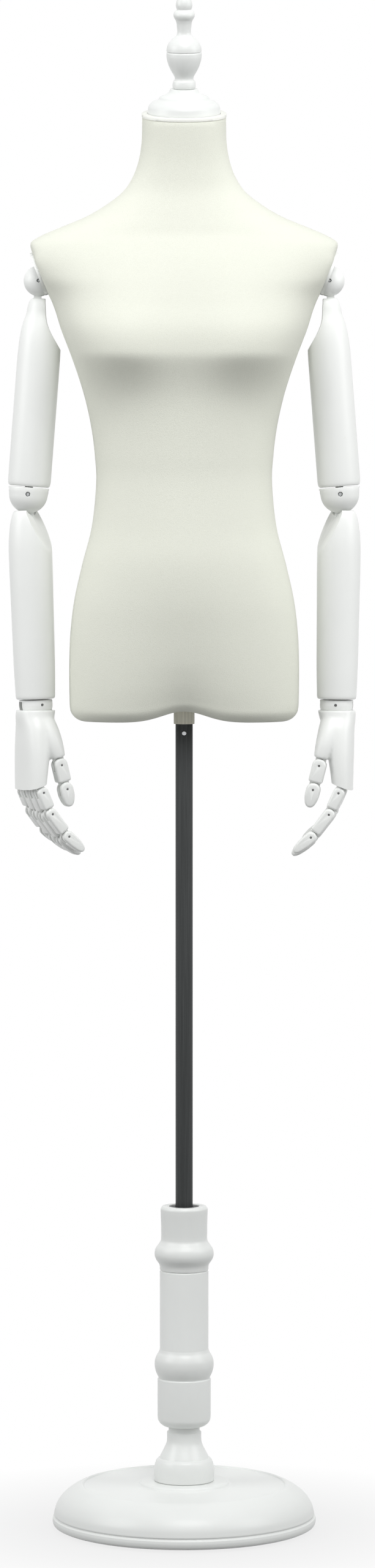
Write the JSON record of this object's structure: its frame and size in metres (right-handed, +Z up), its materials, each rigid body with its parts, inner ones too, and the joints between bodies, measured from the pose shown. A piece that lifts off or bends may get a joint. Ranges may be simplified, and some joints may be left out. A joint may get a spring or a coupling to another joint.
{
  "type": "dress form mannequin",
  "caption": "Fabric-covered female torso with jointed wooden arms and hands, turned neck finial, and a height-adjustable pole in a turned wooden stand with a round base.",
  "frame": {"origin": "centre of the underside of the round base", "axes": "+Z up along the pole, -Y the way the chest faces, +X towards the left arm of the form"},
  "size_m": [0.4489, 0.3386, 1.9518],
  "materials": {
    "ivory_fabric": "matte",
    "papier_mache": "matte",
    "white_painted_wood": "satin",
    "cream_steel": "satin",
    "black_steel": "satin",
    "bright_steel": "satin",
    "black_plastic": "matte",
    "grey_felt": "matte"
  },
  "bodies": {
    "stand": {"base_felt": "grey_felt", "base_disc": "white_painted_wood", "column_foot": "white_painted_wood", "column": "white_painted_wood", "guide_tube": "bright_steel", "base_bolt": "bright_steel", "pole_bush": "black_plastic"},
    "pole_mast": {"pole": "black_steel", "pole_button": "bright_steel"},
    "torso": {"pole_collar": "cream_steel", "torso_core": "papier_mache", "torso_cover": "ivory_fabric", "neck_cap": "white_painted_wood", "finial": "white_painted_wood", "right_shoulder_plate": "white_painted_wood", "left_shoulder_plate": "white_painted_wood"},
    "right_shoulder": {"right_shoulder_ball": "white_painted_wood", "right_shoulder_pin": "bright_steel"},
    "right_upper": {"right_upper_arm": "white_painted_wood"},
    "right_elbow": {"right_elbow_ball": "white_painted_wood", "right_elbow_pin": "bright_steel"},
    "right_lower": {"right_forearm": "white_painted_wood"},
    "right_wrist": {"right_wrist_ball": "white_painted_wood"},
    "right_hand": {"right_palm": "white_painted_wood"},
    "right_thumb_1": {"right_thumb_1": "white_painted_wood"},
    "right_thumb_2": {"right_thumb_2": "white_painted_wood"},
    "right_index_1": {"right_index_1": "white_painted_wood"},
    "right_index_2": {"right_index_2": "white_painted_wood"},
    "right_index_3": {"right_index_3": "white_painted_wood"},
    "right_middle_1": {"right_middle_1": "white_painted_wood"},
    "right_middle_2": {"right_middle_2": "white_painted_wood"},
    "right_middle_3": {"right_middle_3": "white_painted_wood"},
    "right_ring_1": {"right_ring_1": "white_painted_wood"},
    "right_ring_2": {"right_ring_2": "white_painted_wood"},
    "right_ring_3": {"right_ring_3": "white_painted_wood"},
    "right_little_1": {"right_little_1": "white_painted_wood"},
    "right_little_2": {"right_little_2": "white_painted_wood"},
    "right_little_3": {"right_little_3": "white_painted_wood"},
    "left_shoulder": {"left_shoulder_ball": "white_painted_wood", "left_shoulder_pin": "bright_steel"},
    "left_upper": {"left_upper_arm": "white_painted_wood"},
    "left_elbow": {"left_elbow_ball": "white_painted_wood", "left_elbow_pin": "bright_steel"},
    "left_lower": {"left_forearm": "white_painted_wood"},
    "left_wrist": {"left_wrist_ball": "white_painted_wood"},
    "left_hand": {"left_palm": "white_painted_wood"},
    "left_thumb_1": {"left_thumb_1": "white_painted_wood"},
    "left_thumb_2": {"left_thumb_2": "white_painted_wood"},
    "left_index_1": {"left_index_1": "white_painted_wood"},
    "left_index_2": {"left_index_2": "white_painted_wood"},
    "left_index_3": {"left_index_3": "white_painted_wood"},
    "left_middle_1": {"left_middle_1": "white_painted_wood"},
    "left_middle_2": {"left_middle_2": "white_painted_wood"},
    "left_middle_3": {"left_middle_3": "white_painted_wood"},
    "left_ring_1": {"left_ring_1": "white_painted_wood"},
    "left_ring_2": {"left_ring_2": "white_painted_wood"},
    "left_ring_3": {"left_ring_3": "white_painted_wood"},
    "left_little_1": {"left_little_1": "white_painted_wood"},
    "left_little_2": {"left_little_2": "white_painted_wood"},
    "left_little_3": {"left_little_3": "white_painted_wood"}
  },
  "joints": [
    {"name": "height_slide", "type": "slide", "parent": "stand", "child": "pole_mast", "axis": [0, 0, 1], "range_m": [-0.24, 0]},
    {"name": "torso_swivel", "type": "hinge", "parent": "pole_mast", "child": "torso", "pos_m": [0, 0, 1.12], "axis": [0, 0, 1], "continuous": true},
    {"name": "right_shoulder_turn", "type": "hinge", "parent": "torso", "child": "right_shoulder", "pos_m": [-0.18445, 0, 1.59566], "axis": [-0.9342, 0, -0.3567], "range_deg": [-60, 150]},
    {"name": "right_shoulder_lift", "type": "hinge", "parent": "right_shoulder", "child": "right_upper", "pos_m": [-0.18445, 0, 1.59566], "axis": [0, 1, 0], "range_deg": [0, 90]},
    {"name": "right_elbow_turn", "type": "hinge", "parent": "right_upper", "child": "right_elbow", "pos_m": [-0.19822, 0, 1.32592], "axis": [-0.0776, 0, -0.997], "range_deg": [-90, 90]},
    {"name": "right_elbow_bend", "type": "hinge", "parent": "right_elbow", "child": "right_lower", "pos_m": [-0.19822, 0, 1.32592], "axis": [0, -1, 0], "range_deg": [-60, 3]},
    {"name": "right_wrist_turn", "type": "hinge", "parent": "right_lower", "child": "right_wrist", "pos_m": [-0.18933, 0, 1.05807], "axis": [0.0332, 0, -0.9995], "range_deg": [-90, 90]},
    {"name": "right_wrist_bend", "type": "hinge", "parent": "right_wrist", "child": "right_hand", "pos_m": [-0.18933, 0, 1.05807], "axis": [0.4224, -0.9063, 0.014], "range_deg": [-25, 25]},
    {"name": "right_thumb_1_bend", "type": "hinge", "parent": "right_hand", "child": "right_thumb_1", "pos_m": [-0.15872, -0.01891, 0.98192], "axis": [0.4224, -0.9063, 0.014], "range_deg": [-15, 60]},
    {"name": "right_thumb_2_bend", "type": "hinge", "parent": "right_thumb_1", "child": "right_thumb_2", "pos_m": [-0.15169, -0.01611, 0.95124], "axis": [0.4224, -0.9063, 0.014], "range_deg": [-20, 40]},
    {"name": "right_index_1_bend", "type": "hinge", "parent": "right_hand", "child": "right_index_1", "pos_m": [-0.18142, -0.02892, 0.94728], "axis": [0.4224, -0.9063, 0.014], "range_deg": [-24, 12]},
    {"name": "right_index_2_bend", "type": "hinge", "parent": "right_index_1", "child": "right_index_2", "pos_m": [-0.17027, -0.02415, 0.91984], "axis": [0.4224, -0.9063, 0.014], "range_deg": [-14, 40]},
    {"name": "right_index_3_bend", "type": "hinge", "parent": "right_index_2", "child": "right_index_3", "pos_m": [-0.14953, -0.01494, 0.89061], "axis": [0.4224, -0.9063, 0.014], "range_deg": [-12, 44]},
    {"name": "right_middle_1_bend", "type": "hinge", "parent": "right_hand", "child": "right_middle_1", "pos_m": [-0.18932, -0.01197, 0.94702], "axis": [0.4224, -0.9063, 0.014], "range_deg": [-24, 44]},
    {"name": "right_middle_2_bend", "type": "hinge", "parent": "right_middle_1", "child": "right_middle_2", "pos_m": [-0.17705, -0.00672, 0.91683], "axis": [0.4224, -0.9063, 0.014], "range_deg": [-14, 62]},
    {"name": "right_middle_3_bend", "type": "hinge", "parent": "right_middle_2", "child": "right_middle_3", "pos_m": [-0.1552, 0.00299, 0.88603], "axis": [0.4224, -0.9063, 0.014], "range_deg": [-12, 44]},
    {"name": "right_ring_1_bend", "type": "hinge", "parent": "right_hand", "child": "right_ring_1", "pos_m": [-0.19717, 0.00489, 0.94676], "axis": [0.4224, -0.9063, 0.014], "range_deg": [-24, 44]},
    {"name": "right_ring_2_bend", "type": "hinge", "parent": "right_ring_1", "child": "right_ring_2", "pos_m": [-0.18565, 0.00982, 0.9184], "axis": [0.4224, -0.9063, 0.014], "range_deg": [-14, 62]},
    {"name": "right_ring_3_bend", "type": "hinge", "parent": "right_ring_2", "child": "right_ring_3", "pos_m": [-0.16492, 0.01903, 0.88918], "axis": [0.4224, -0.9063, 0.014], "range_deg": [-12, 44]},
    {"name": "right_little_1_bend", "type": "hinge", "parent": "right_hand", "child": "right_little_1", "pos_m": [-0.20486, 0.02138, 0.9465], "axis": [0.4224, -0.9063, 0.014], "range_deg": [-24, 44]},
    {"name": "right_little_2_bend", "type": "hinge", "parent": "right_little_1", "child": "right_little_2", "pos_m": [-0.19483, 0.02567, 0.9218], "axis": [0.4224, -0.9063, 0.014], "range_deg": [-14, 62]},
    {"name": "right_little_3_bend", "type": "hinge", "parent": "right_little_2", "child": "right_little_3", "pos_m": [-0.17689, 0.03364, 0.89653], "axis": [0.4224, -0.9063, 0.014], "range_deg": [-12, 44]},
    {"name": "left_shoulder_turn", "type": "hinge", "parent": "torso", "child": "left_shoulder", "pos_m": [0.18445, 0, 1.59566], "axis": [-0.9342, 0, 0.3567], "range_deg": [-60, 150]},
    {"name": "left_shoulder_lift", "type": "hinge", "parent": "left_shoulder", "child": "left_upper", "pos_m": [0.18445, 0, 1.59566], "axis": [0, -1, 0], "range_deg": [0, 90]},
    {"name": "left_elbow_turn", "type": "hinge", "parent": "left_upper", "child": "left_elbow", "pos_m": [0.19822, 0, 1.32592], "axis": [-0.0776, 0, 0.997], "range_deg": [-90, 90]},
    {"name": "left_elbow_bend", "type": "hinge", "parent": "left_elbow", "child": "left_lower", "pos_m": [0.19822, 0, 1.32592], "axis": [0, 1, 0], "range_deg": [-60, 3]},
    {"name": "left_wrist_turn", "type": "hinge", "parent": "left_lower", "child": "left_wrist", "pos_m": [0.19448, 0, 1.05794], "axis": [0.014, 0, 0.9999], "range_deg": [-90, 90]},
    {"name": "left_wrist_bend", "type": "hinge", "parent": "left_wrist", "child": "left_hand", "pos_m": [0.19448, 0, 1.05794], "axis": [0.0871, 0.9962, -0.0012], "range_deg": [-25, 25]},
    {"name": "left_thumb_1_bend", "type": "hinge", "parent": "left_hand", "child": "left_thumb_1", "pos_m": [0.17202, -0.02724, 0.98148], "axis": [0.0871, 0.9962, -0.0012], "range_deg": [-15, 60]},
    {"name": "left_thumb_2_bend", "type": "hinge", "parent": "left_thumb_1", "child": "left_thumb_2", "pos_m": [0.1644, -0.02661, 0.95082], "axis": [0.0871, 0.9962, -0.0012], "range_deg": [-20, 40]},
    {"name": "left_index_1_bend", "type": "hinge", "parent": "left_hand", "child": "left_index_1", "pos_m": [0.19671, -0.02844, 0.94677], "axis": [0.0871, 0.9962, -0.0012], "range_deg": [-24, 12]},
    {"name": "left_index_2_bend", "type": "hinge", "parent": "left_index_1", "child": "left_index_2", "pos_m": [0.18455, -0.02741, 0.91937], "axis": [0.0871, 0.9962, -0.0012], "range_deg": [-14, 40]},
    {"name": "left_index_3_bend", "type": "hinge", "parent": "left_index_2", "child": "left_index_3", "pos_m": [0.16186, -0.02546, 0.89021], "axis": [0.0871, 0.9962, -0.0012], "range_deg": [-12, 44]},
    {"name": "left_middle_1_bend", "type": "hinge", "parent": "left_hand", "child": "left_middle_1", "pos_m": [0.19834, -0.00981, 0.94675], "axis": [0.0871, 0.9962, -0.0012], "range_deg": [-24, 44]},
    {"name": "left_middle_2_bend", "type": "hinge", "parent": "left_middle_1", "child": "left_middle_2", "pos_m": [0.18496, -0.00868, 0.9166], "axis": [0.0871, 0.9962, -0.0012], "range_deg": [-14, 62]},
    {"name": "left_middle_3_bend", "type": "hinge", "parent": "left_middle_2", "child": "left_middle_3", "pos_m": [0.16104, -0.00662, 0.88587], "axis": [0.0871, 0.9962, -0.0012], "range_deg": [-12, 44]},
    {"name": "left_ring_1_bend", "type": "hinge", "parent": "left_hand", "child": "left_ring_1", "pos_m": [0.19996, 0.00872, 0.94673], "axis": [0.0871, 0.9962, -0.0012], "range_deg": [-24, 44]},
    {"name": "left_ring_2_bend", "type": "hinge", "parent": "left_ring_1", "child": "left_ring_2", "pos_m": [0.1874, 0.00978, 0.91841], "axis": [0.0871, 0.9962, -0.0012], "range_deg": [-14, 62]},
    {"name": "left_ring_3_bend", "type": "hinge", "parent": "left_ring_2", "child": "left_ring_3", "pos_m": [0.1647, 0.01173, 0.88925], "axis": [0.0871, 0.9962, -0.0012], "range_deg": [-12, 44]},
    {"name": "left_little_1_bend", "type": "hinge", "parent": "left_hand", "child": "left_little_1", "pos_m": [0.20154, 0.02685, 0.94671], "axis": [0.0871, 0.9962, -0.0012], "range_deg": [-24, 44]},
    {"name": "left_little_2_bend", "type": "hinge", "parent": "left_little_1", "child": "left_little_2", "pos_m": [0.1906, 0.02778, 0.92204], "axis": [0.0871, 0.9962, -0.0012], "range_deg": [-14, 62]},
    {"name": "left_little_3_bend", "type": "hinge", "parent": "left_little_2", "child": "left_little_3", "pos_m": [0.17097, 0.02946, 0.89682], "axis": [0.0871, 0.9962, -0.0012], "range_deg": [-12, 44]}
  ]
}
